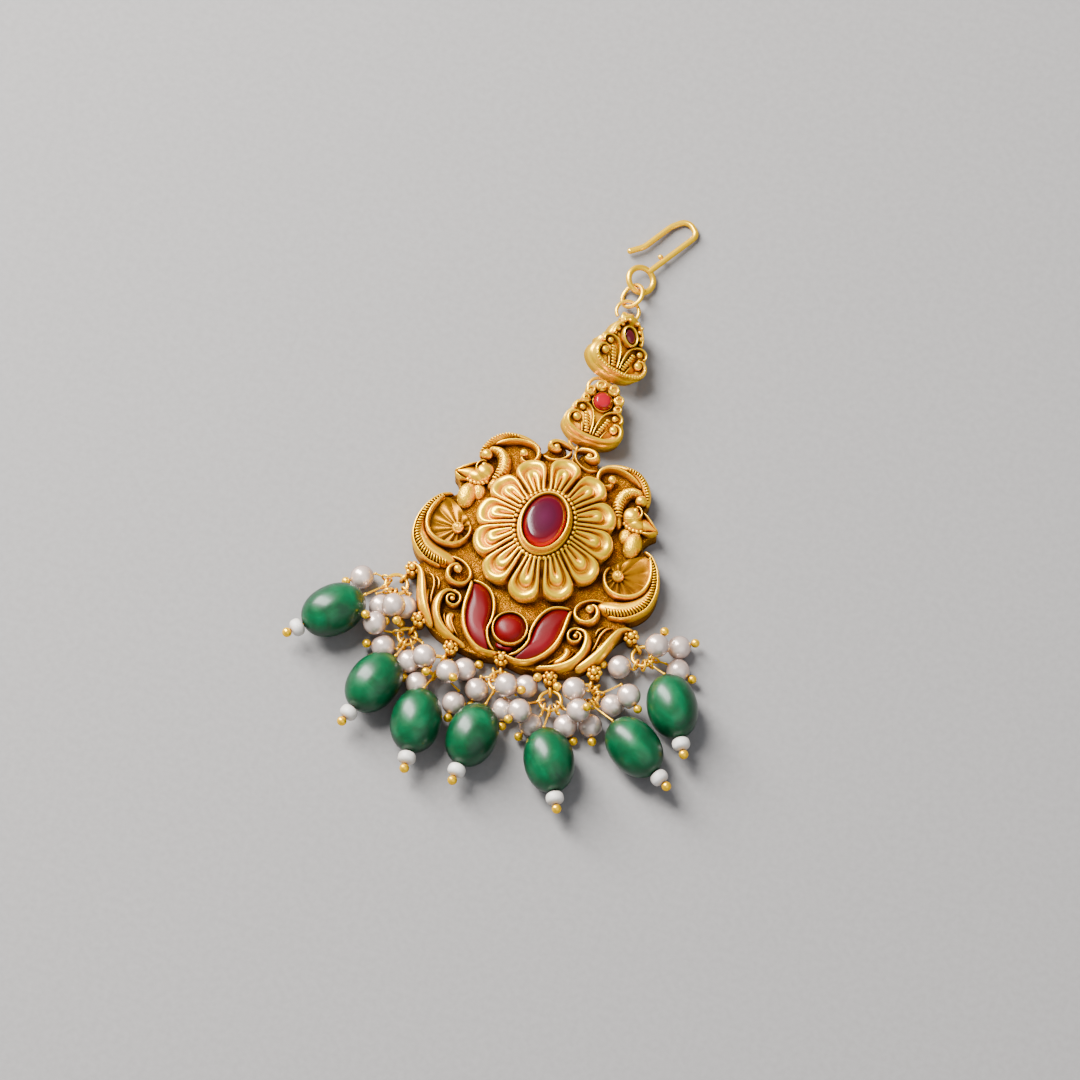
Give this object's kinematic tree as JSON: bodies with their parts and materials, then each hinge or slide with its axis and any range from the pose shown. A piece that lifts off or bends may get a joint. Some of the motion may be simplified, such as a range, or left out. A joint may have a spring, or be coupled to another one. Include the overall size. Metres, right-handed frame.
{
  "type": "maang tikka forehead ornament",
  "caption": "Gilt forehead pendant with a raised flower, birds and a red lotus, hung from cast links and a hair hook, with a fringe of oval green beads and pearls.",
  "frame": {"origin": "the centre of the pendant's flower, on the flat back that the jewel lies on", "axes": "+Y up the chain to the hook, along the longest extent; +X to the right seen from the front; +Z out of the face, the shortest extent"},
  "size_m": [0.0706, 0.1115, 0.0098],
  "materials": {
    "antique_gold": "matte antique gilt, dark in the recesses",
    "bright_gold": "polished gilt wire",
    "green_bead": "glossy semi-translucent emerald green",
    "pearl": "soft pearl lustre",
    "seed_bead": "matte white",
    "red_stone": "glossy translucent red",
    "purple_stone": "glossy deep maroon"
  },
  "bodies": {
    "root": {"hook": "bright_gold", "jump_ring_upper": "bright_gold", "jump_ring_lower": "bright_gold", "upper_link": "antique_gold", "upper_link_stone": "purple_stone", "ring_between_links": "bright_gold", "lower_link": "antique_gold", "lower_link_stone": "red_stone", "ring_to_pendant": "bright_gold", "pendant": "antique_gold", "centre_stone": "purple_stone", "lotus_petal_left": "red_stone", "lotus_petal_right": "red_stone", "lotus_round_stone": "red_stone", "lotus_base_petal": "red_stone", "drop_ring_1": "bright_gold", "green_bead_1": "green_bead", "seed_bead_1": "seed_bead", "bead_pin_1": "bright_gold", "pearls_1": "pearl", "pearl_pins_1": "bright_gold", "drop_ring_2": "bright_gold", "green_bead_2": "green_bead", "seed_bead_2": "seed_bead", "bead_pin_2": "bright_gold", "pearls_2": "pearl", "pearl_pins_2": "bright_gold", "drop_ring_3": "bright_gold", "green_bead_3": "green_bead", "seed_bead_3": "seed_bead", "bead_pin_3": "bright_gold", "pearls_3": "pearl", "pearl_pins_3": "bright_gold", "drop_ring_4": "bright_gold", "green_bead_4": "green_bead", "seed_bead_4": "seed_bead", "bead_pin_4": "bright_gold", "pearls_4": "pearl", "pearl_pins_4": "bright_gold", "drop_ring_5": "bright_gold", "green_bead_5": "green_bead", "seed_bead_5": "seed_bead", "bead_pin_5": "bright_gold", "pearls_5": "pearl", "pearl_pins_5": "bright_gold", "drop_ring_6": "bright_gold", "green_bead_6": "green_bead", "seed_bead_6": "seed_bead", "bead_pin_6": "bright_gold", "pearls_6": "pearl", "pearl_pins_6": "bright_gold", "drop_ring_7": "bright_gold", "green_bead_7": "green_bead", "seed_bead_7": "seed_bead", "bead_pin_7": "bright_gold", "pearls_7": "pearl", "pearl_pins_7": "bright_gold"}
  },
  "joints": []
}
